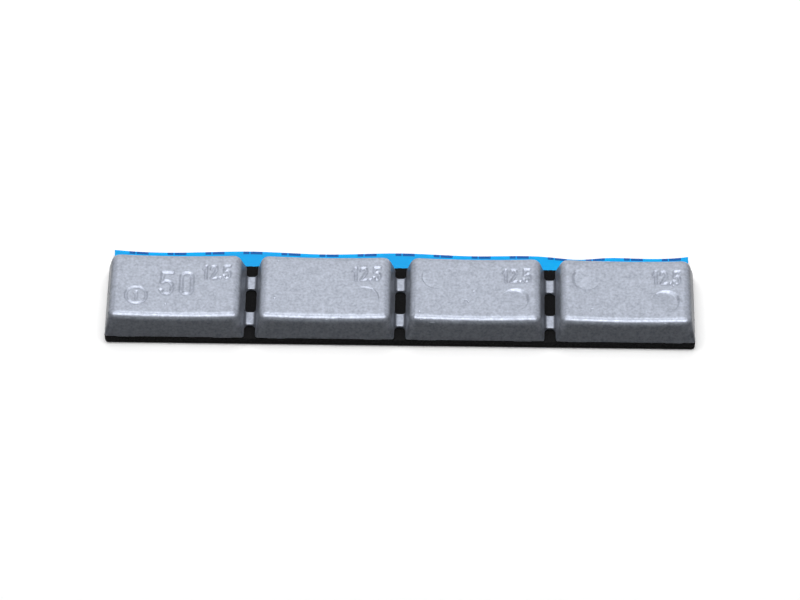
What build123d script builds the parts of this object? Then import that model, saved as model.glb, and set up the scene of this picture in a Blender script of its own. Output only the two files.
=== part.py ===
"""Stick-on wheel balance weight: a die-cast zinc strip of linked segments on foam tape with a peel-off liner.

Millimetres. X runs along the strip, Y towards the free edge of the liner, Z up from the surface the
liner lies on. The origin is the middle of the tape's footprint.
"""
import math
import os

from build123d import *

# Zinc strip: equal segments, each a drafted bar, linked by two thin bars across each gap
strip_length = 107.0
segment_count = 4
segment_gap = 1.88         # between two segments, at their base
segment_width = 16.5       # across the base, at its ends
segment_height = 4.92      # at the middle of a segment, from base to hollow
end_draft = 1.0            # how far each end wall leans in, base to top
side_draft = 1.1           # how far each long wall leans in, base to top
top_hollow_radius = 170.0  # the top is hollow along the strip, as the rim barrel is
edge_radius = 1.5          # round along the top edges
foot_corner_radius = 0.45  # upright corners at the base; they open out to the edge radius at the top
corner_fullness = 1.015    # the corners are fuller than the edges that run into them by this factor

link_spacing = 8.1         # between the middles of the two links of a gap
link_width = 2.8
link_thickness = 0.65
link_root_radius = 0.65    # where a link's top runs up into the end walls
window_radius = 0.72       # where a link's sides run into the end walls, in plan
window_fill = 0.9          # most of half the gap that those rounds may take up

# Ejector pin marks: shallow tilted discs sunk into the top
pin_diameter = 5.15
pin_offset_x = 7.2         # from the middle of the segment
pin_offset_y = 2.4
pin_tilt = 3.6             # degrees, so that one side of the disc is sunk and the other fades out
pin_depth = 0.34           # at the sunk side of a full mark
faint_pin_depth = 0.14     # at the sunk side of a faint mark

# Foam tape, flush with the zinc at its front and ends, and release liner
tape_thickness = 1.65
tape_corner_radius = 0.8
tape_margin = 0.25         # how far the tape shows behind the zinc, on the peeling side
liner_thickness = 0.1
liner_front_inset = 0.4    # the film stops this far short of the tape's front edge
liner_overhang = 3.6       # past the tape, on the peeling side only
liner_end_inset = 0.75     # the film stops this far short of the strip at each end
liner_low = 0.7            # rise of the film's free edge behind the middle of a segment
liner_high = 1.3           # rise of the free edge behind a gap and at the ends
liner_dip_x = -8.2         # the film lies nearly flat here, from the middle of the last segment
liner_dip_width = 11.0     # from one side of that dip to the other
liner_dip_rise = 0.05      # rise of the free edge at the dip

# Worked out from the sizes above
segment_pitch = (strip_length + segment_gap) / segment_count
base_length = segment_pitch - segment_gap
top_length = base_length - 2 * end_draft
tape_width = segment_width + tape_margin
zinc_offset = -tape_margin / 2
tape_top = liner_thickness + tape_thickness
link_top = tape_top + link_thickness
link_inner = (link_spacing - link_width) / 2
link_outer = (link_spacing + link_width) / 2


def bow(radius, chord):
    """How far an arc of this radius stands off the middle of its chord."""
    return radius - math.sqrt(radius**2 - (chord / 2) ** 2)


hollow_z = tape_top + segment_height
top_z = hollow_z + bow(top_hollow_radius, top_length)
end_lean = end_draft / (top_z - tape_top)
side_lean = side_draft / (top_z - tape_top)
barrel_z = hollow_z + top_hollow_radius

segment_middles = [(index - (segment_count - 1) / 2) * segment_pitch for index in range(segment_count)]
gap_middles = [middle + segment_pitch / 2 for middle in segment_middles[:-1]]


def outline(*edges):
    """Close a run of edges into a flat face."""
    return make_face(Wire(list(edges)))


def across_strip(face, width):
    """Push a lengthwise section out across the strip, evenly about its middle."""
    return extrude(face, amount=width / 2, dir=(0, 1, 0), both=True)


def upright_edges(body):
    """The edges that climb more than they run."""
    return body.edges().filter_by(lambda edge: abs((edge @ 1 - edge @ 0).Z) > edge.length / 2)


def end_round(face, along):
    """The round at one end of a face's top edge, the furthest along an axis."""
    return face.edges().filter_by(GeomType.CIRCLE).sort_by(along)[-1]


def round_top(face):
    """Round the two top corners of a segment's profile or section."""
    return fillet(face.vertices().group_by(Axis.Z)[-1], edge_radius)


def segment_profile():
    """A segment seen from the side: flat base, leaning ends and a hollow top."""
    foot, crest = base_length / 2, top_length / 2
    return round_top(outline(
        Line((-foot, 0, tape_top), (foot, 0, tape_top)),
        Line((foot, 0, tape_top), (crest, 0, top_z)),
        ThreePointArc((crest, 0, top_z), (0, 0, hollow_z), (-crest, 0, top_z)),
        Line((-crest, 0, top_z), (-foot, 0, tape_top)),
    ))


def segment_section():
    """A segment cut across its middle, run down to where its ends meet the tape once it is turned."""
    low_z = tape_top - bow(barrel_z - tape_top, base_length)
    foot = segment_width / 2
    crest = foot - side_lean * (hollow_z - low_z)
    corners = Polyline((0, -foot, low_z), (0, foot, low_z), (0, crest, hollow_z), (0, -crest, hollow_z), close=True)
    return round_top(outline(*corners.edges()))


def corner_waste(body, ball):
    """What comes off a mitred corner: a ball rounds its top and a cone closes that round in towards the foot."""
    radius = edge_radius * corner_fullness
    tip_depth = foot_corner_radius * (ball.Z - tape_top) / (edge_radius - foot_corner_radius)
    tip_x, tip_y = base_length / 2 + end_lean * tip_depth, segment_width / 2 + side_lean * tip_depth
    tip = Vector(tip_x, tip_y, tape_top - tip_depth)
    axis = ball - tip
    on_end = ball + Vector(1, 0, end_lean).normalized() * radius
    on_side = ball + Vector(0, 1, side_lean).normalized() * radius
    ring = Plane(origin=ball - axis * (radius / axis.length) ** 2, z_dir=axis)
    chord = Plane(origin=tip, z_dir=(on_side - tip).cross(on_end - tip))
    spread = axis.length * math.tan(math.asin(radius / axis.length))
    cone = Cone(0, spread, axis.length, align=(Align.CENTER, Align.CENTER, Align.MIN))
    beyond = Box(base_length, segment_width, barrel_z, align=(Align.MIN, Align.MIN, Align.MIN))
    below_ring = split(body, bisect_by=ring, keep=Keep.BOTTOM)
    above_ring = split(body, bisect_by=ring, keep=Keep.TOP)
    low = split(below_ring, bisect_by=chord, keep=Keep.TOP) - Plane(origin=tip, z_dir=axis) * cone
    high = (above_ring & Pos(ball.X, ball.Y) * beyond) - Pos(ball) * Sphere(radius)
    return [low, high]


def segment():
    """One zinc segment: its profile pushed across the strip, within its section turned about the rim's axis."""
    profile, section = segment_profile(), segment_section()
    barrel = Axis((0, 0, barrel_z), (0, 1, 0))
    turn = math.degrees(math.asin(base_length / 2 / top_hollow_radius))
    turned = revolve(section.rotate(barrel, -turn), barrel, 2 * turn)
    body = across_strip(profile, 2 * segment_width) & turned
    end_middle = end_round(profile, Axis.X).arc_center
    side_middle = end_round(section, Axis.Y).arc_center
    waste = corner_waste(body, Vector(end_middle.X, side_middle.Y, end_middle.Z))
    waste += [mirror(piece, Plane.YZ) for piece in waste]
    waste += [mirror(piece, Plane.XZ) for piece in waste]
    return Part() + body - waste


def gap_half(height):
    """Half the space between two facing end walls at a height."""
    return segment_gap / 2 + (height - tape_top) * end_lean


def gap_section(floor, ceiling):
    """The space between two facing end walls, from a floor height to a ceiling height."""
    low, high = gap_half(floor), gap_half(ceiling)
    corners = Polyline((-low, 0, floor), (low, 0, floor), (high, 0, ceiling), (-high, 0, ceiling), close=True)
    return outline(*corners.edges())


def window(near, far):
    """The opening beside a link, from its near to its far end across the strip, with round upright corners."""
    floor, ceiling = tape_top - link_thickness, link_top + 2 * link_root_radius
    space = Pos(Y=near) * extrude(gap_section(floor, ceiling), amount=far - near, dir=(0, 1, 0))
    return fillet(upright_edges(space), min(window_radius, gap_half(floor) * window_fill))


def links():
    """The pair of thin bars across one gap, run out into the end walls."""
    crest = link_top + link_root_radius
    root = gap_half(crest) + link_root_radius
    slab = Rectangle(2 * root, crest - tape_top, align=(Align.CENTER, Align.MIN))
    space = gap_section(link_top, crest + link_root_radius)
    space = fillet(space.vertices().group_by(Axis.Z)[0], link_root_radius)
    section = Plane.XZ * Pos(Y=tape_top) * slab - space
    bars = across_strip(section, 2 * (link_outer + window_radius))
    clear = link_outer + segment_width
    for near, far in ((-clear, -link_outer), (-link_inner, link_inner), (link_outer, clear)):
        bars -= window(near, far)
    return bars


def pin_mark(middle, side, depth):
    """The disc an ejector pin leaves, sunk on the side towards the strip's middle line.

    Side is -1 for the place at the back left of a segment and 1 for the place at the front right.
    """
    radius = pin_diameter / 2
    surface = hollow_z + bow(top_hollow_radius, 2 * pin_offset_x)
    floor = surface - depth + radius * math.sin(math.radians(pin_tilt))
    disc = Cylinder(radius, segment_height, align=(Align.CENTER, Align.CENTER, Align.MIN))
    return Pos(middle + side * pin_offset_x, -side * pin_offset_y, floor) * Rot(X=-side * pin_tilt) * disc


def zinc_weight():
    """The whole casting: segments, links and the pin marks that show on the later segments."""
    one_segment, link_pair = segment(), links()
    pieces = [Pos(X=middle) * one_segment for middle in segment_middles]
    pieces += [Pos(X=middle) * link_pair for middle in gap_middles]
    marks = [pin_mark(middle, 1, pin_depth) for middle in segment_middles[-2:]]
    marks += [pin_mark(middle, 1, faint_pin_depth) for middle in segment_middles[-3:-2]]
    marks += [pin_mark(middle, -1, pin_depth) for middle in segment_middles[-1:]]
    marks += [pin_mark(middle, -1, faint_pin_depth) for middle in segment_middles[-2:-1]]
    return Pos(Y=zinc_offset) * (Part() + pieces - marks)


def foam_tape():
    """The tape under the strip, with its corners rounded off in plan."""
    footprint = RectangleRounded(strip_length, tape_width, tape_corner_radius)
    return Pos(Z=liner_thickness) * extrude(footprint, tape_thickness)


def free_edge_rise():
    """Heights along the film's free edge: it lifts behind each gap and lies flat at one dip."""
    half = strip_length / 2 - liner_end_inset
    waves = [(-half, liner_high), (half, liner_high)]
    waves += [(middle, liner_low) for middle in segment_middles]
    waves += [(middle, liner_high) for middle in gap_middles]
    dip, reach = segment_middles[-1] + liner_dip_x, liner_dip_width / 2
    waves = [point for point in waves if abs(point[0] - dip) > reach]
    return sorted(waves + [(dip - reach, liner_low), (dip, liner_dip_rise), (dip + reach, liner_low)])


def release_liner():
    """The film under the tape, with a free strip along one side that lifts in gentle waves."""
    half = strip_length / 2 - liner_end_inset
    front, back = liner_front_inset - tape_width / 2, tape_width / 2
    sheet = Box(2 * half, back - front, liner_thickness, align=(Align.CENTER, Align.MIN, Align.MIN))
    sheet = Pos(Y=front) * sheet
    rise = free_edge_rise()
    tip = back + liner_overhang
    low = [(x, tip, z) for x, z in rise]
    high = [(x, tip, z + liner_thickness) for x, z in rise]
    tip_face = outline(
        Spline(*low), Line(low[-1], high[-1]), Spline(*reversed(high)), Line(high[0], low[0])
    )
    root_face = sheet.faces().sort_by(Axis.Y)[-1]
    return sheet + loft([root_face, tip_face], ruled=True)


os.makedirs("parts", exist_ok=True)
export_step(zinc_weight(), "parts/zinc_weight.step")
export_step(foam_tape(), "parts/foam_tape.step")
export_step(release_liner(), "parts/release_liner.step")
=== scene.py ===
"""The looks of a stick-on wheel balance weight, built around its CAD frame.

The frame and the finished pieces are in metres. Meshes are worked on in millimetres.
"""
from collections import namedtuple
import math

import bpy
import bmesh
import numpy as np
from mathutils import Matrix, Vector, noise as noise_field


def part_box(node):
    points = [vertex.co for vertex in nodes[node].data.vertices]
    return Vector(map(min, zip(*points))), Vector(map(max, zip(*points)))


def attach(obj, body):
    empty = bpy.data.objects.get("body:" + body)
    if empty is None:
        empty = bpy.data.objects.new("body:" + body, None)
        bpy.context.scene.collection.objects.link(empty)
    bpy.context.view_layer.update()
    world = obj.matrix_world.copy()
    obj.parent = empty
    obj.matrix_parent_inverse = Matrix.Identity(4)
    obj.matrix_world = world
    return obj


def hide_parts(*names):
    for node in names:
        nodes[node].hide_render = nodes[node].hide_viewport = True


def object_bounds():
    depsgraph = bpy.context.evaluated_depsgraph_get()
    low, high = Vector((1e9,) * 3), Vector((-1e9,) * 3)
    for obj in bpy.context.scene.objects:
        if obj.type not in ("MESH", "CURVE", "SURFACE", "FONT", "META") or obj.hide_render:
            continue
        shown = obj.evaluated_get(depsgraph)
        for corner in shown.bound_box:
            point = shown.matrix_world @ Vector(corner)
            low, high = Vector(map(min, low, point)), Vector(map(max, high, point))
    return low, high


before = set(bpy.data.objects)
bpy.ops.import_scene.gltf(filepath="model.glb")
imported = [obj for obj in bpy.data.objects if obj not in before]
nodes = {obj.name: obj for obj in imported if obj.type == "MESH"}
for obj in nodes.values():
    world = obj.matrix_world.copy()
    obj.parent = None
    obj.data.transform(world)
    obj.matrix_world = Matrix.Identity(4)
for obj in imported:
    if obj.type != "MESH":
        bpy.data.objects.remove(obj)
cad_low, cad_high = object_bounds()
MM = 0.001

# Where the pieces lie, in metres
zinc_low, zinc_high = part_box("zinc_weight")
foam_low, foam_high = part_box("foam_tape")
liner_low, liner_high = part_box("release_liner")

# Where the segments' middles lie along the strip, in millimetres
SEGMENTS = 4
GAP = 1.88 * MM
PITCH = (zinc_high.x - zinc_low.x + GAP) / SEGMENTS
MIDDLES = [(zinc_low.x + (PITCH - GAP) / 2 + index * PITCH) / MM for index in range(SEGMENTS)]

# Camera of the photograph, fitted to the edges that it shows
IMAGE_WIDTH = 800
CAMERA_PLACE = Vector((7.04, -451.065, 591.4)) * MM
CAMERA_YAW = math.radians(-0.902)
CAMERA_ELEVATION = math.radians(52.527)
FOCAL_PIXELS = 4076.35
SENSOR_WIDTH = 36.0

# The casting's true form, in millimetres: its tops are hollow and its long rims are round
SECTION_MIDDLE = (zinc_low.y + zinc_high.y) / 2 / MM
HOLLOW_RADIUS = 170.0
HOLLOW_HEIGHT = 6.67    # at the middle of a segment
TOP_DEPTH = 0.5         # no mark in a top is sunk deeper than this
TOP_MARGIN = 0.2        # left out of a top, beside its rims
TOP_UPWARD = 0.3        # a top's normals point up more than this, with its marks
RIM_RADIUS = 1.5
RIM_MIDDLE = 5.917      # of the rim's round, from the strip's middle line
RIM_END = 10.3          # of the straight rim, from the segment's middle
RIM_NEAR = 0.2          # vertices closer to the true rim than this are drawn onto it
RIM_FADE = 0.3          # over this the drawing fades in from the top, and out above the wall
RIM_END_FADE = 0.4      # over this it fades out at the end of the rim
LEAST_REACH = 0.1       # keeps the drawing away from the middle of the round

CASTING_FACE, CASTING_ROUNDS = ((0.1, 14))
MARK_ROUNDS, CORNER_ROUNDS = ((60, 50))
FOAM_FACE, FOAM_ROUNDS = ((0.15, 2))
CASTING_TRIANGLES = 185000
FOAM_TRIANGLES = 90000
MARK_TILT = 0.1         # a top tilts more than this where a mark is sunk into it
MARK_RINGS = 6          # rings of vertices around a mark that belong to it
SPLIT_RINGS = 2         # rings of vertices around a fine mark whose faces are quartered
EVEN_THINNING = 0.99    # weight that keeps faces even as they are merged
FREE_THINNING = 0.999   # weight that lets them grow where the form is flat
UNDERSIDE = -0.99       # the underside's normals point down more than this

# Ejector pin marks in the tops, in millimetres: tilted discs, sunk towards the strip's middle line
PIN_RADIUS = 2.575
PIN_X = 7.2             # from the segment's middle
PIN_Y = 2.4             # from the strip's middle line
PIN_TILT = 0.0628       # climb of the floor away from the strip's middle line
PIN_LEAN = 0.05         # climb of the floor towards the segment's middle
PIN_WALL = 0.6          # slope of the wall
PIN_MARKS = ((1, 1, 0.14), (2, -1, 0.14), (2, 1, 0.34), (3, -1, 0.34), (3, 1, 0.34))  # segment, side, depth

# Figures sunk into the tops, in millimetres: x and y lead from the segment's middle to the row's middle,
# width is one figure's, and half_width and depth are the groove's
Figures = namedtuple("Figures", "text x y height width gap half_width depth")
WEIGHT_FIGURES = Figures("50", 0.3, 0.35, height=4.8, width=1.95, gap=1.6, half_width=0.48, depth=0.23)
SHARE_FIGURES = Figures("12.5", 7.4, 2.95, height=2.7, width=0.95, gap=0.52, half_width=0.4, depth=0.23)
MOULD_FIGURE = Figures("1", -6.95, -2.5, height=1.7, width=0.6, gap=0.0, half_width=0.36, depth=0.17)
MOULD_RING_RADIUS = 1.85
POINT_WIDTH = 0.45      # of a decimal point, as a share of a figure's width
GROOVE_WALL = 0.85      # share of a groove's half width that its sloping wall takes up
ARC_POINTS = 14

# Small pits left in the casting, in millimetres from its middle: x, y, radius, depth
PITS = (
    (-22.28, 5.7, 0.3, 0.16), (-22.71, -2.91, 0.26, 0.12), (11.91, -2.71, 0.34, 0.2),
    (12.37, -3.0, 0.2, 0.1), (13.35, -0.63, 0.24, 0.12), (34.65, -4.4, 0.3, 0.15),
    (49.58, 1.08, 0.26, 0.12), (-42.36, -4.36, 0.24, 0.1), (3.54, -5.52, 0.24, 0.1),
    (-46.5, -6.35, 0.35, 0.12),
)
PIT_FLOOR = 0.2         # share of a pit's radius that is flat

# Open cells of the foam, in millimetres: deep on its cut sides and faint on its upper face
CELL_SIZE = 0.42
CELL_DEPTH = 0.16
FACE_CELL_DEPTH = 0.05
CELL_WALL = (0.1, 0.75)  # from the floor of a cell to its rim, in cell sizes from its middle
CUT_SIDE = (0.3, 0.8)    # from a cut side to a face, by the upward part of the normal

# The film's mesh and the curl of its free strip
FILM_COLUMNS = 360
FILM_ROWS_UNDER = 8
FILM_ROWS_FREE = 15
FILM_CURL = 1.15
PROBE_INSET = 1e-5      # metres inside the CAD film's outline
PROBE_HEIGHT = 0.1      # metres above it

# Dashes printed in pairs along the film's free edge
DASH_START = -50.06 * MM
DASH_PERIOD = 7.0 * MM
SHORT_DASH = 1.1 * MM
DASH_GAP = 0.2 * MM
LONG_DASH = 2.2 * MM
DASH_BAND = 0.5 * MM

# Colours, each from its darker to its lighter spots where there are two
# The walls' colour is darker than the tops' colour: painted shade on the walls
SHADED_WALL_PAINT = (0.18, 0.196, 0.23), (0.295, 0.32, 0.372)
TOP_PAINT = (0.317, 0.343, 0.408), (0.468, 0.505, 0.591)
# Painted shade at the links' roots, low in the gaps between segments
LINK_ROOT_SHADE = (0.09, 0.098, 0.118)
FOAM_BLACK = (0.002, 0.002, 0.0022), (0.006, 0.006, 0.0065)
FILM_BLUE = (0.001, 0.385, 0.95), (0.006, 0.5, 1.0)
DASH_BLUE = (0.01, 0.13, 0.46)
FLOOR_WHITE = (0.95, 0.95, 0.95, 1)
FLOOR_GREY = (0.1, 0.1, 0.1, 1)
ROOM_GREY = (0.02, 0.02, 0.02, 1)

# Paint: lumps per metre in its patterns, how they are mixed, and where each look begins and is full
GRAIN_LUMPS = 2200
FLOCK_LUMPS = 750
SWELL_LUMPS = 160
FLOCK_SHARE = 0.4
SWELL_SHARE = 4.0
SPECKLE = (0.48, 0.92)          # by the grain and the flock together
# Painted shade: from the darker walls to the tops
WALL_SHADE_FADE = (0.4, 0.97)         # by the upward part of the normal
# Where the painted shade at the links' roots begins and is full
ROOT_UPWARD = (0.22, 0.4)       # by the upward part of the normal
ROOT_LEANING = (0.1, 0.4)       # by the part of the normal along the strip
ROOT_DEPTH = (2 * MM, 3 * MM)   # below the top of the casting
OFF_WALLS = (0.64, 0.88)        # by the upward part of the normal
GLINT = ((0.02, 0.95), (0.09, 0.6), (0.16, 0.2), (0.22, 0.13), (0.3, 0.0))  # by the turn from square on

# Foam and film: lumps per metre in their patterns
FOAM_LUMPS = 3500
CLOUD_LUMPS = 420
CREASE_LUMPS = 700
PATTERN_MIDDLE = (0.3, 0.7)     # most of a cloudy pattern lies between these

# The floor and the lamps, in metres
FLOOR_SIZE = 6
FLOOR_CLEARANCE = 0.02 * MM
FLOOR_GLOW = 0.15       # added to the light on it
LAMP_HEIGHT = 0.5


def arc(middle, radii, start, end):
    """Points on an ellipse from a start to an end angle in degrees."""
    angles = np.radians(np.linspace(start, end, ARC_POINTS))
    return [(middle[0] + radii[0] * math.cos(a), middle[1] + radii[1] * math.sin(a)) for a in angles]


# The middle line of each figure's stroke, in a cell one wide and one high
FIGURE_PATHS = {
    "0": arc((0.5, 0.8), (0.5, 0.2), 0, 180) + arc((0.5, 0.2), (0.5, 0.2), 180, 360) + [(1.0, 0.8)],
    "1": [(0.1, 0.78), (0.55, 1.0), (0.55, 0.0)],
    "2": arc((0.5, 0.74), (0.5, 0.26), 170, -35) + [(0.0, 0.0), (1.0, 0.0)],
    "5": [(0.95, 1.0), (0.08, 1.0), (0.0, 0.55)] + arc((0.44, 0.31), (0.56, 0.31), 118, -155),
    ".": [(0.5, 0.0), (0.5, 0.01)],
}


def distance_to_path(points, path):
    """Shortest distance in plan from each point to a run of straight pieces."""
    nearest = np.full(len(points), np.inf)
    for start, end in zip(path[:-1], path[1:]):
        run = end - start
        along = np.clip((points - start) @ run / (run @ run), 0, 1)
        nearest = np.minimum(nearest, np.linalg.norm(points - start - along[:, None] * run, axis=1))
    return nearest


def smooth_step(low, high, value):
    """0 below low, 1 above high, and an even S between."""
    t = np.clip((value - low) / (high - low), 0, 1)
    return t * t * (3 - 2 * t)


def hollow(along):
    """Height of a segment's top at a distance along the strip from the segment's middle."""
    return HOLLOW_HEIGHT + HOLLOW_RADIUS - np.sqrt(HOLLOW_RADIUS**2 - along**2)


def near_top(places):
    """Which places are in a segment's top, or sunk no deeper into it than a mark."""
    return places[:, 2] > HOLLOW_HEIGHT - TOP_DEPTH


def along_segment(places):
    """How far each place lies along the strip from the nearest segment's middle."""
    return np.min([np.abs(places[:, 0] - middle) for middle in MIDDLES], axis=0)


def groove(away, half_width, depth):
    """How far a groove with evenly sloping walls is sunk at a distance from its middle line."""
    return depth * np.clip((half_width - away) / (half_width * GROOVE_WALL), 0, 1)


def sink_figures(points, depth_map, row):
    """Add a row of figures to the map of how far each point of the top is sunk."""
    widths = [row.width * (POINT_WIDTH if figure == "." else 1.0) for figure in row.text]
    left = row.x - (sum(widths) + row.gap * (len(row.text) - 1)) / 2
    for figure, width in zip(row.text, widths):
        path = np.array(FIGURE_PATHS[figure]) * (width, row.height) + (left, row.y - row.height / 2)
        near = np.all(np.abs(points - (left + width / 2, row.y)) < row.height, axis=1)
        away = distance_to_path(points[near], path)
        depth_map[near] = np.maximum(depth_map[near], groove(away, row.half_width, row.depth))
        left += width + row.gap


def sink_ring(points, depth_map, row, radius):
    """Add a ring around a row of figures to the map, its groove as wide and as deep as theirs."""
    away = np.abs(np.linalg.norm(points - np.array((row.x, row.y)), axis=1) - radius)
    np.maximum(depth_map, groove(away, row.half_width, row.depth), out=depth_map)


def sink_pin(points, depth_map, side, depth):
    """Add a pin's disc to the map, its wall sloped as thick paint leaves it.

    Side is 1 for the place at the front right of a segment and -1 for the place at the back left.
    """
    from_middle = points - np.array((side * PIN_X, -side * PIN_Y))
    inside = PIN_RADIUS - np.linalg.norm(from_middle, axis=1)
    near = np.flatnonzero(inside > 0)
    along, across = side * from_middle[near].T
    floor = hollow(PIN_X) - depth + (PIN_RADIUS - across) * PIN_TILT - np.minimum(along, 0) * PIN_LEAN
    sunk = np.minimum(hollow(points[near, 0]) - floor, inside[near] * PIN_WALL)
    depth_map[near] = np.maximum(depth_map[near], sunk)


def sink_fine_marks(places):
    """How far each place is sunk by the figures, the ring and the pits."""
    sunk = np.zeros(len(places))
    for index, middle in enumerate(MIDDLES):
        plan = places[:, :2] - np.array((middle, SECTION_MIDDLE))
        sink_figures(plan, sunk, SHARE_FIGURES)
        if index == 0:
            sink_figures(plan, sunk, WEIGHT_FIGURES)
            sink_figures(plan, sunk, MOULD_FIGURE)
            sink_ring(plan, sunk, MOULD_FIGURE, MOULD_RING_RADIUS)
    for x, y, radius, depth in PITS:
        away = np.linalg.norm(places[:, :2] - np.array((x, y + SECTION_MIDDLE)), axis=1)
        sunk = np.maximum(sunk, depth * (1 - smooth_step(radius * PIT_FLOOR, radius, away)))
    return sunk


def sink_pins(places):
    """How far each place is sunk by the pin marks."""
    sunk = np.zeros(len(places))
    for index, side, depth in PIN_MARKS:
        sink_pin(places[:, :2] - np.array((MIDDLES[index], SECTION_MIDDLE)), sunk, side, depth)
    return sunk


def draw_true(places):
    """Draw the tops bare of marks, and the long rims, which the frame gives in flat facets, truly round."""
    across = places[:, 1] - SECTION_MIDDLE
    past_rim = np.maximum(np.abs(across) - RIM_MIDDLE, 0)
    for middle in MIDDLES:
        along = places[:, 0] - middle
        on_top = near_top(places) & (np.abs(along) < RIM_END - TOP_MARGIN) & (past_rim == 0)
        places[on_top, 2] = hollow(along[on_top])
        drop = HOLLOW_HEIGHT + HOLLOW_RADIUS - places[:, 2]
        barrel = np.hypot(along, drop)
        above_rim = np.maximum(HOLLOW_RADIUS + RIM_RADIUS - barrel, 0)
        reached = np.maximum(np.hypot(past_rim, above_rim), LEAST_REACH)
        short = RIM_RADIUS - reached
        on_rim = (np.abs(short) < RIM_NEAR) * smooth_step(0, RIM_FADE, past_rim)
        on_rim = on_rim * smooth_step(RIM_FADE, 2 * RIM_FADE, above_rim)
        move = short / reached * on_rim * (1 - smooth_step(RIM_END - RIM_END_FADE, RIM_END, np.abs(along)))
        places[:, 1] += np.sign(across) * past_rim * move
        places[:, 0] -= along / barrel * above_rim * move
        places[:, 2] += drop / barrel * above_rim * move


def apply_modifiers(piece):
    """Turn what the modifiers make into the piece's own mesh."""
    made = bpy.data.meshes.new_from_object(piece.evaluated_get(bpy.context.evaluated_depsgraph_get()))
    piece.modifiers.clear()
    piece.vertex_groups.clear()
    old, piece.data = piece.data, made
    bpy.data.meshes.remove(old)


def new_piece(name, mesh):
    """A mesh set into the scene."""
    piece = bpy.data.objects.new(name, mesh)
    bpy.context.collection.objects.link(piece)
    return piece


def fine_copy(name, node, face_size, rounds):
    """A copy of a CAD node in millimetres, remeshed into small even faces and eased along its edges."""
    mesh = nodes[node].data.copy()
    mesh.name = name
    mesh.materials.clear()
    work = bmesh.new()
    work.from_mesh(mesh)
    bmesh.ops.remove_doubles(work, verts=work.verts, dist=1e-7)
    bmesh.ops.scale(work, vec=(1 / MM, 1 / MM, 1 / MM), verts=work.verts)
    work.to_mesh(mesh)
    work.free()
    piece = new_piece(name, mesh)
    remesh = piece.modifiers.new("even faces", "REMESH")
    remesh.mode = "VOXEL"
    remesh.voxel_size = face_size
    eased = piece.modifiers.new("eased edges", "SMOOTH")
    eased.iterations = rounds
    apply_modifiers(piece)
    return piece


def read_vectors(items, name):
    """One vector of each of a mesh's items, as the rows of an array."""
    values = np.empty(len(items) * 3, np.float32)
    items.foreach_get(name, values)
    return values.reshape(-1, 3)


def vertex_places(mesh):
    """The mesh's vertices as an array."""
    return read_vectors(mesh.vertices, "co")


def vertex_normals(mesh):
    """The mesh's vertex normals as an array."""
    return read_vectors(mesh.vertex_normals, "vector")


def move_vertices(mesh, places):
    """Put the mesh's vertices at these places."""
    mesh.vertices.foreach_set("co", places.ravel())
    mesh.update()


def grow(mesh, picked, rings):
    """Spread a choice of vertices to their neighbours, ring by ring."""
    ends = np.empty(len(mesh.edges) * 2, np.int32)
    mesh.edges.foreach_get("vertices", ends)
    first, second = ends.reshape(-1, 2).T
    for _ in range(rings):
        spread = picked.copy()
        spread[first] |= picked[second]
        spread[second] |= picked[first]
        picked = spread
    return picked


def sunk_marks(mesh):
    """The vertices on and around the marks in the tops, where the surface tilts."""
    places, normals = vertex_places(mesh), vertex_normals(mesh)
    on_top = (normals[:, 2] > TOP_UPWARD) & (along_segment(places) < RIM_END - TOP_MARGIN)
    on_top &= np.abs(places[:, 1] - SECTION_MIDDLE) < RIM_MIDDLE - TOP_MARGIN
    tilt = np.hypot(normals[:, 0], normals[:, 1])
    return grow(mesh, on_top & (tilt > MARK_TILT), MARK_RINGS)


def upright_corners(mesh):
    """The vertices on and around the segments' upright corners."""
    places = vertex_places(mesh)
    return (along_segment(places) > RIM_END) & (np.abs(places[:, 1] - SECTION_MIDDLE) > RIM_MIDDLE)


def vertex_group(piece, *choices):
    """Name the vertices that a modifier works on, from choices of them and how much each counts."""
    group = piece.vertex_groups.new(name="picked")
    for picked, weight in choices:
        group.add(np.flatnonzero(picked).tolist(), weight, "REPLACE")
    return group.name


def ease(piece, picked, rounds):
    """Soften the form around picked vertices, as thick paint does."""
    softer = piece.modifiers.new("softer", "SMOOTH")
    softer.iterations = rounds
    softer.vertex_group = vertex_group(piece, (picked, 1.0))
    apply_modifiers(piece)


def split_faces(piece, picked):
    """Quarter the faces between picked vertices, so that fine marks come out clean."""
    work = bmesh.new()
    work.from_mesh(piece.data)
    edges = [edge for edge in work.edges if picked[edge.verts[0].index] and picked[edge.verts[1].index]]
    bmesh.ops.subdivide_edges(work, edges=edges, cuts=1, use_grid_fill=True)
    bmesh.ops.poke(work, faces=[face for face in work.faces if len(face.verts) > 4])
    work.to_mesh(piece.data)
    work.free()


def thin_out(piece, triangles, kept=None):
    """Merge faces until there are about this many triangles, and go back to metres.

    Where some vertices are kept, the rest are merged evenly, and freely on the underside.
    """
    triangles_now = 2 * len(piece.data.polygons)
    if triangles_now > triangles:
        thin = piece.modifiers.new("thinned", "DECIMATE")
        thin.ratio = triangles / triangles_now
        if kept is not None:
            underside = vertex_normals(piece.data)[:, 2] < UNDERSIDE
            thin.vertex_group = vertex_group(piece, (~kept, EVEN_THINNING), (underside, FREE_THINNING))
        apply_modifiers(piece)
    move_vertices(piece.data, np.clip(vertex_places(piece.data) * MM, cad_low, cad_high))
    piece.data.shade_smooth()


def make_casting():
    """The painted zinc strip with its marks sunk in."""
    piece = fine_copy("casting", "zinc_weight", CASTING_FACE, CASTING_ROUNDS)
    ease(piece, sunk_marks(piece.data), MARK_ROUNDS)
    ease(piece, upright_corners(piece.data), CORNER_ROUNDS)
    places = vertex_places(piece.data)
    marked = near_top(places) & (sink_fine_marks(places) > 0)
    split_faces(piece, grow(piece.data, marked, SPLIT_RINGS))
    places = vertex_places(piece.data)
    draw_true(places)
    sunk = np.maximum(sink_fine_marks(places), sink_pins(places))
    places[:, 2] -= sunk * near_top(places)
    move_vertices(piece.data, places)
    thin_out(piece, CASTING_TRIANGLES, sunk_marks(piece.data))
    piece.data.materials.append(paint_material())
    return piece


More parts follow.
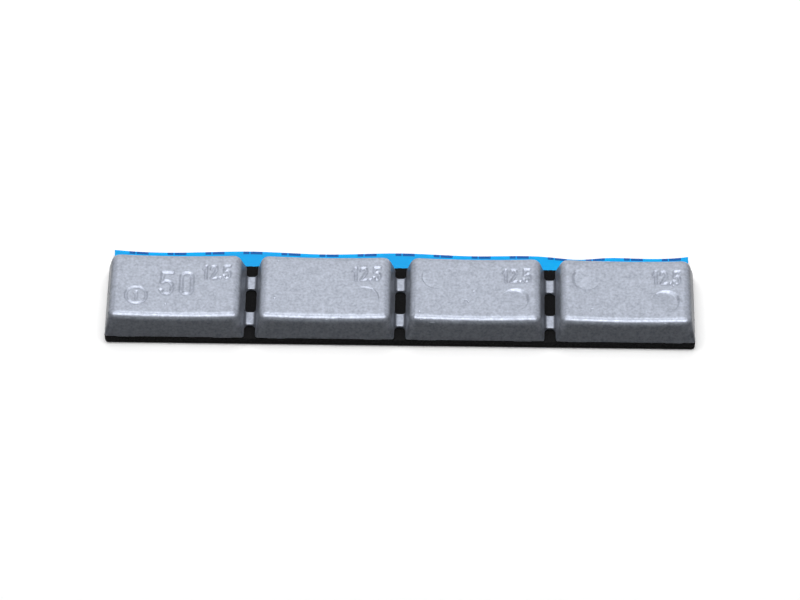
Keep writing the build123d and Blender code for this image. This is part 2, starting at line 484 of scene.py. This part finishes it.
def make_foam():
    """The foam tape, with open cells on its cut sides and fainter ones on its upper face."""
    piece = fine_copy("foam", "foam_tape", FOAM_FACE, FOAM_ROUNDS)
    places, normals = vertex_places(piece.data), vertex_normals(piece.data)
    upward = normals[:, 2]
    upright = 1 - smooth_step(*CUT_SIDE, np.abs(upward))
    over_depth = FACE_CELL_DEPTH + (CELL_DEPTH - FACE_CELL_DEPTH) * upright
    depth = np.where(upward > 0, over_depth, CELL_DEPTH * upright)
    from_cell = [noise_field.voronoi(Vector(place) / CELL_SIZE)[0][0] for place in places]
    open_cell = [1 - smooth_step(*CELL_WALL, distance) for distance in from_cell]
    places -= normals * (depth * np.array(open_cell))[:, None]
    move_vertices(piece.data, places)
    thin_out(piece, FOAM_TRIANGLES)
    piece.data.materials.append(foam_material())
    return piece


def edge_heights(columns, tip):
    """Height of the film's free edge at each place along the strip, read off the CAD film from above."""
    heights = []
    for x in np.clip(columns, liner_low.x + PROBE_INSET, liner_high.x - PROBE_INSET):
        start = (x, tip - PROBE_INSET, PROBE_HEIGHT)
        found, place, _, _ = nodes["release_liner"].ray_cast(start, (0, 0, -1))
        heights.append(place.z if found else 0)
    return np.array(heights)


def film_side(work, columns, rows, heights, level):
    """One side of the film as columns of vertices, this far above its underside."""
    return [
        [work.verts.new((x, y, height + level)) for y, height in zip(rows, column_heights)]
        for x, column_heights in zip(columns, heights)
    ]


def make_film():
    """The blue film: flat under the foam, with a free strip behind it that lifts in soft waves."""
    root, tip = foam_high.y, liner_high.y
    columns = np.linspace(liner_low.x, liner_high.x, FILM_COLUMNS)
    rows_under = np.linspace(liner_low.y, root, FILM_ROWS_UNDER)
    rows = np.concatenate([rows_under, np.linspace(root, tip, FILM_ROWS_FREE)[1:]])
    thickness = foam_low.z - liner_low.z
    free = np.clip((rows - root) / (tip - root), 0, 1)
    rise = edge_heights(columns, tip) - thickness
    heights = rise[:, None] * free[None, :] ** FILM_CURL
    work = bmesh.new()
    under, over = (film_side(work, columns, rows, heights, level) for level in (0, thickness))
    last_column, last_row = len(columns) - 1, len(rows) - 1
    for i in range(last_column):
        for j in range(last_row):
            work.faces.new((over[i][j], over[i + 1][j], over[i + 1][j + 1], over[i][j + 1]))
            work.faces.new((under[i][j], under[i][j + 1], under[i + 1][j + 1], under[i + 1][j]))
    rim = [(i, 0) for i in range(last_column)] + [(last_column, j) for j in range(last_row)]
    rim += [(i, last_row) for i in range(last_column, 0, -1)] + [(0, j) for j in range(last_row, 0, -1)]
    for (i, j), (next_i, next_j) in zip(rim, rim[1:] + rim[:1]):
        work.faces.new((under[i][j], under[next_i][next_j], over[next_i][next_j], over[i][j]))
    mesh = bpy.data.meshes.new("film")
    work.to_mesh(mesh)
    work.free()
    mesh.shade_smooth()
    mesh.materials.append(film_material())
    return new_piece("film", mesh)


def new_material(name):
    """A node material, its tree and its main shader."""
    material = bpy.data.materials.new(name)
    material.use_nodes = True
    return material, material.node_tree, material.node_tree.nodes["Principled BSDF"]


def object_place(tree, output="Object"):
    """Where on the piece a point lies, or which way its surface faces there."""
    return tree.nodes.new("ShaderNodeTexCoord").outputs[output]


def parted(tree, vector):
    """A vector's three parts by name."""
    node = tree.nodes.new("ShaderNodeSeparateXYZ")
    tree.links.new(vector, node.inputs[0])
    return node.outputs


def noise(tree, place, scale, detail=2.0):
    """A cloudy pattern between 0 and 1; scale counts its lumps per metre."""
    texture = tree.nodes.new("ShaderNodeTexNoise")
    texture.inputs["Scale"].default_value = scale
    texture.inputs["Detail"].default_value = detail
    tree.links.new(place, texture.inputs["Vector"])
    return texture.outputs["Fac"]


def reach(tree, value, limits, onto=(0, 1), interpolation="LINEAR"):
    """A value between two limits, carried over onto two others."""
    node = tree.nodes.new("ShaderNodeMapRange")
    node.interpolation_type = interpolation
    for name, setting in zip(("From Min", "From Max", "To Min", "To Max"), (*limits, *onto)):
        node.inputs[name].default_value = setting
    tree.links.new(value, node.inputs["Value"])
    return node.outputs["Result"]


def between(tree, share, first, second):
    """A colour between two others, each a plain colour or a socket."""
    node = tree.nodes.new("ShaderNodeMix")
    node.data_type = "RGBA"
    tree.links.new(share, node.inputs["Factor"])
    for socket, colour in ((node.inputs["A"], first), (node.inputs["B"], second)):
        if isinstance(colour, tuple):
            socket.default_value = (*colour, 1)
        else:
            tree.links.new(colour, socket)
    return node.outputs["Result"]


def combine(tree, operation, first, second=0.0):
    """One sum of two values, each a number or a socket."""
    node = tree.nodes.new("ShaderNodeMath")
    node.operation = operation
    for socket, value in zip(node.inputs, (first, second)):
        if isinstance(value, (int, float)):
            socket.default_value = value
        else:
            tree.links.new(value, socket)
    return node.outputs[0]


def roughen(tree, shader, height, depth):
    """Bump the shader's surface by a pattern, this deep."""
    bump = tree.nodes.new("ShaderNodeBump")
    bump.inputs["Strength"].default_value = 1.0
    bump.inputs["Distance"].default_value = depth
    tree.links.new(height, bump.inputs["Height"])
    tree.links.new(bump.outputs["Normal"], shader.inputs["Normal"])


def graded(tree, value, stops):
    """A value read off a curve of straight pieces between (value, level) stops."""
    ramp = tree.nodes.new("ShaderNodeValToRGB")
    elements = ramp.color_ramp.elements
    while len(elements) < len(stops):
        elements.new(1.0)
    for element, (position, level) in zip(elements, stops):
        element.position = position
        element.color = (level, level, level, 1)
    tree.links.new(value, ramp.inputs["Fac"])
    return ramp.outputs["Color"]


def paint_material():
    """Silver-grey paint with a fine grain, darker on the walls and darkest at the links' roots as painted
    shade, glinting where it is seen square on.
    """
    material, tree, shader = new_material("silver_paint")
    place = object_place(tree)
    facing = parted(tree, object_place(tree, "Normal"))
    grain = noise(tree, place, GRAIN_LUMPS, detail=3)
    flock = combine(tree, "MULTIPLY", noise(tree, place, FLOCK_LUMPS, detail=1), FLOCK_SHARE)
    speckle = reach(tree, combine(tree, "ADD", grain, flock), SPECKLE)
    # Painted shade: the walls take a darker colour than the tops
    unshaded_top = reach(tree, facing["Z"], WALL_SHADE_FADE, interpolation="SMOOTHSTEP")
    dark, light = (between(tree, unshaded_top, wall, top) for wall, top in zip(SHADED_WALL_PAINT, TOP_PAINT))
    coat = between(tree, speckle, dark, light)

    # Painted shade where the links run into the walls, low in the gaps between segments
    low = reach(tree, parted(tree, place)["Z"], [zinc_high.z - depth for depth in ROOT_DEPTH])
    leaning = reach(tree, combine(tree, "ABSOLUTE", facing["X"]), ROOT_LEANING)
    link_root_shade = combine(tree, "MULTIPLY", leaning, reach(tree, facing["Z"], ROOT_UPWARD))
    link_root_shade = combine(tree, "MULTIPLY", low, link_root_shade)
    tree.links.new(between(tree, link_root_shade, coat, LINK_ROOT_SHADE), shader.inputs["Base Color"])

    swell = combine(tree, "MULTIPLY", noise(tree, place, SWELL_LUMPS, detail=1), SWELL_SHARE)
    roughen(tree, shader, combine(tree, "ADD", swell, grain), depth=0.009 * MM)
    tree.links.new(reach(tree, grain, PATTERN_MIDDLE, onto=(0.42, 0.3)), shader.inputs["Roughness"])
    shader.inputs["Specular IOR Level"].default_value = 0.2
    square_on = tree.nodes.new("ShaderNodeLayerWeight").outputs["Facing"]
    off_walls = reach(tree, facing["Z"], OFF_WALLS)
    glint = combine(tree, "MULTIPLY", graded(tree, square_on, GLINT), off_walls)
    tree.links.new(glint, shader.inputs["Metallic"])
    return material


def foam_material():
    """Black closed-cell foam."""
    material, tree, shader = new_material("black_foam")
    cells = noise(tree, object_place(tree), FOAM_LUMPS)
    tree.links.new(between(tree, cells, *FOAM_BLACK), shader.inputs["Base Color"])
    roughen(tree, shader, cells, depth=0.06 * MM)
    tree.links.new(reach(tree, cells, PATTERN_MIDDLE, onto=(0.95, 0.8)), shader.inputs["Roughness"])
    shader.inputs["Specular IOR Level"].default_value = 0.15
    return material


def film_material():
    """Blue release film with a row of dark dashes printed along its free edge."""
    material, tree, shader = new_material("blue_film")
    place = object_place(tree)
    spot = parted(tree, place)
    count = combine(tree, "DIVIDE", combine(tree, "SUBTRACT", spot["X"], DASH_START), DASH_PERIOD)
    turn = combine(tree, "MULTIPLY", combine(tree, "FRACT", count), DASH_PERIOD)
    in_short = combine(tree, "LESS_THAN", turn, SHORT_DASH)
    after_gap = combine(tree, "GREATER_THAN", turn, SHORT_DASH + DASH_GAP)
    before_end = combine(tree, "LESS_THAN", turn, SHORT_DASH + DASH_GAP + LONG_DASH)
    in_long = combine(tree, "MULTIPLY", after_gap, before_end)
    at_edge = combine(tree, "GREATER_THAN", spot["Y"], liner_high.y - DASH_BAND)
    printed = combine(tree, "MULTIPLY", combine(tree, "ADD", in_short, in_long), at_edge)
    cloud = noise(tree, place, CLOUD_LUMPS)
    blue = between(tree, cloud, *FILM_BLUE)
    tree.links.new(between(tree, printed, blue, DASH_BLUE), shader.inputs["Base Color"])
    roughen(tree, shader, noise(tree, place, CREASE_LUMPS), depth=0.03 * MM)
    tree.links.new(reach(tree, cloud, PATTERN_MIDDLE, onto=(0.3, 0.45)), shader.inputs["Roughness"])
    shader.inputs["Specular IOR Level"].default_value = 0.06
    return material


def floor_material():
    """White where it is seen, directly, in gloss or through glass, and grey in the light it throws back."""
    material, tree, shader = new_material("pale_floor")
    tree.nodes.remove(shader)
    path = tree.nodes.new("ShaderNodeLightPath").outputs
    seen = combine(tree, "MAXIMUM", path["Is Camera Ray"], path["Is Glossy Ray"])
    seen = combine(tree, "MAXIMUM", seen, path["Is Transmission Ray"])
    plain = tree.nodes.new("ShaderNodeBsdfDiffuse")
    plain.inputs["Color"].default_value = FLOOR_GREY
    white = tree.nodes.new("ShaderNodeBsdfDiffuse")
    white.inputs["Color"].default_value = FLOOR_WHITE
    glow = tree.nodes.new("ShaderNodeEmission")
    glow.inputs["Strength"].default_value = FLOOR_GLOW
    bright = tree.nodes.new("ShaderNodeAddShader")
    tree.links.new(white.outputs[0], bright.inputs[0])
    tree.links.new(glow.outputs[0], bright.inputs[1])
    mix = tree.nodes.new("ShaderNodeMixShader")
    tree.links.new(seen, mix.inputs["Fac"])
    tree.links.new(plain.outputs[0], mix.inputs[1])
    tree.links.new(bright.outputs[0], mix.inputs[2])
    tree.links.new(mix.outputs[0], tree.nodes["Material Output"].inputs["Surface"])
    return material


def make_floor():
    """A plain pale floor, just clear of the film."""
    bpy.ops.mesh.primitive_plane_add(size=FLOOR_SIZE, location=(0, 0, cad_low.z - FLOOR_CLEARANCE))
    floor = bpy.context.object
    floor.name = "floor"
    floor.data.materials.append(floor_material())


def softbox(name, x, y, width, height, radiance, lights=True, shines=True):
    """A rectangular lamp facing down, which lights what is below it, shines on its gloss, or both."""
    lamp = bpy.data.lights.new(name, "AREA")
    lamp.shape = "RECTANGLE"
    lamp.size = width
    lamp.size_y = height
    lamp.energy = radiance * math.pi * width * height
    holder = bpy.data.objects.new(name, lamp)
    holder.location = (x, y, LAMP_HEIGHT)
    holder.visible_diffuse = lights
    holder.visible_glossy = shines
    bpy.context.collection.objects.link(holder)


def light_scene():
    """Soft light from above and behind, with a white card over the front for the gloss, in a dim room."""
    world = bpy.data.worlds.new("dim room")
    world.use_nodes = True
    world.node_tree.nodes["Background"].inputs["Color"].default_value = ROOM_GREY
    bpy.context.scene.world = world
    softbox("behind", x=-0.04, y=0.275, width=0.44, height=0.55, radiance=2.2)
    softbox("overhead", x=0, y=0, width=0.6, height=0.3, radiance=3.9, shines=False)
    softbox("front card", x=0, y=-0.19, width=1.2, height=0.5, radiance=3.3, lights=False)


def place_camera():
    """The camera at the photograph's viewing angle."""
    data = bpy.data.cameras.new("camera")
    data.sensor_width = SENSOR_WIDTH
    data.lens = FOCAL_PIXELS / IMAGE_WIDTH * SENSOR_WIDTH
    data.clip_start = 0.05
    data.clip_end = 20
    camera = bpy.data.objects.new("camera", data)
    level = math.cos(CAMERA_ELEVATION)
    ahead, aside = math.cos(CAMERA_YAW) * level, math.sin(CAMERA_YAW) * level
    forward = Vector((aside, ahead, -math.sin(CAMERA_ELEVATION)))
    camera.location = CAMERA_PLACE
    camera.rotation_mode = "QUATERNION"
    camera.rotation_quaternion = forward.to_track_quat("-Z", "Y")
    bpy.context.collection.objects.link(camera)
    bpy.context.scene.camera = camera


for make, node, slot in (
    (make_casting, "zinc_weight", "zinc_paint"),
    (make_foam, "foam_tape", "foam"),
    (make_film, "release_liner", "liner_film"),
):
    made = make()
    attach(made, "root")
    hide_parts(node)

make_floor()
light_scene()
place_camera()
bpy.context.scene.view_settings.view_transform = "Standard"
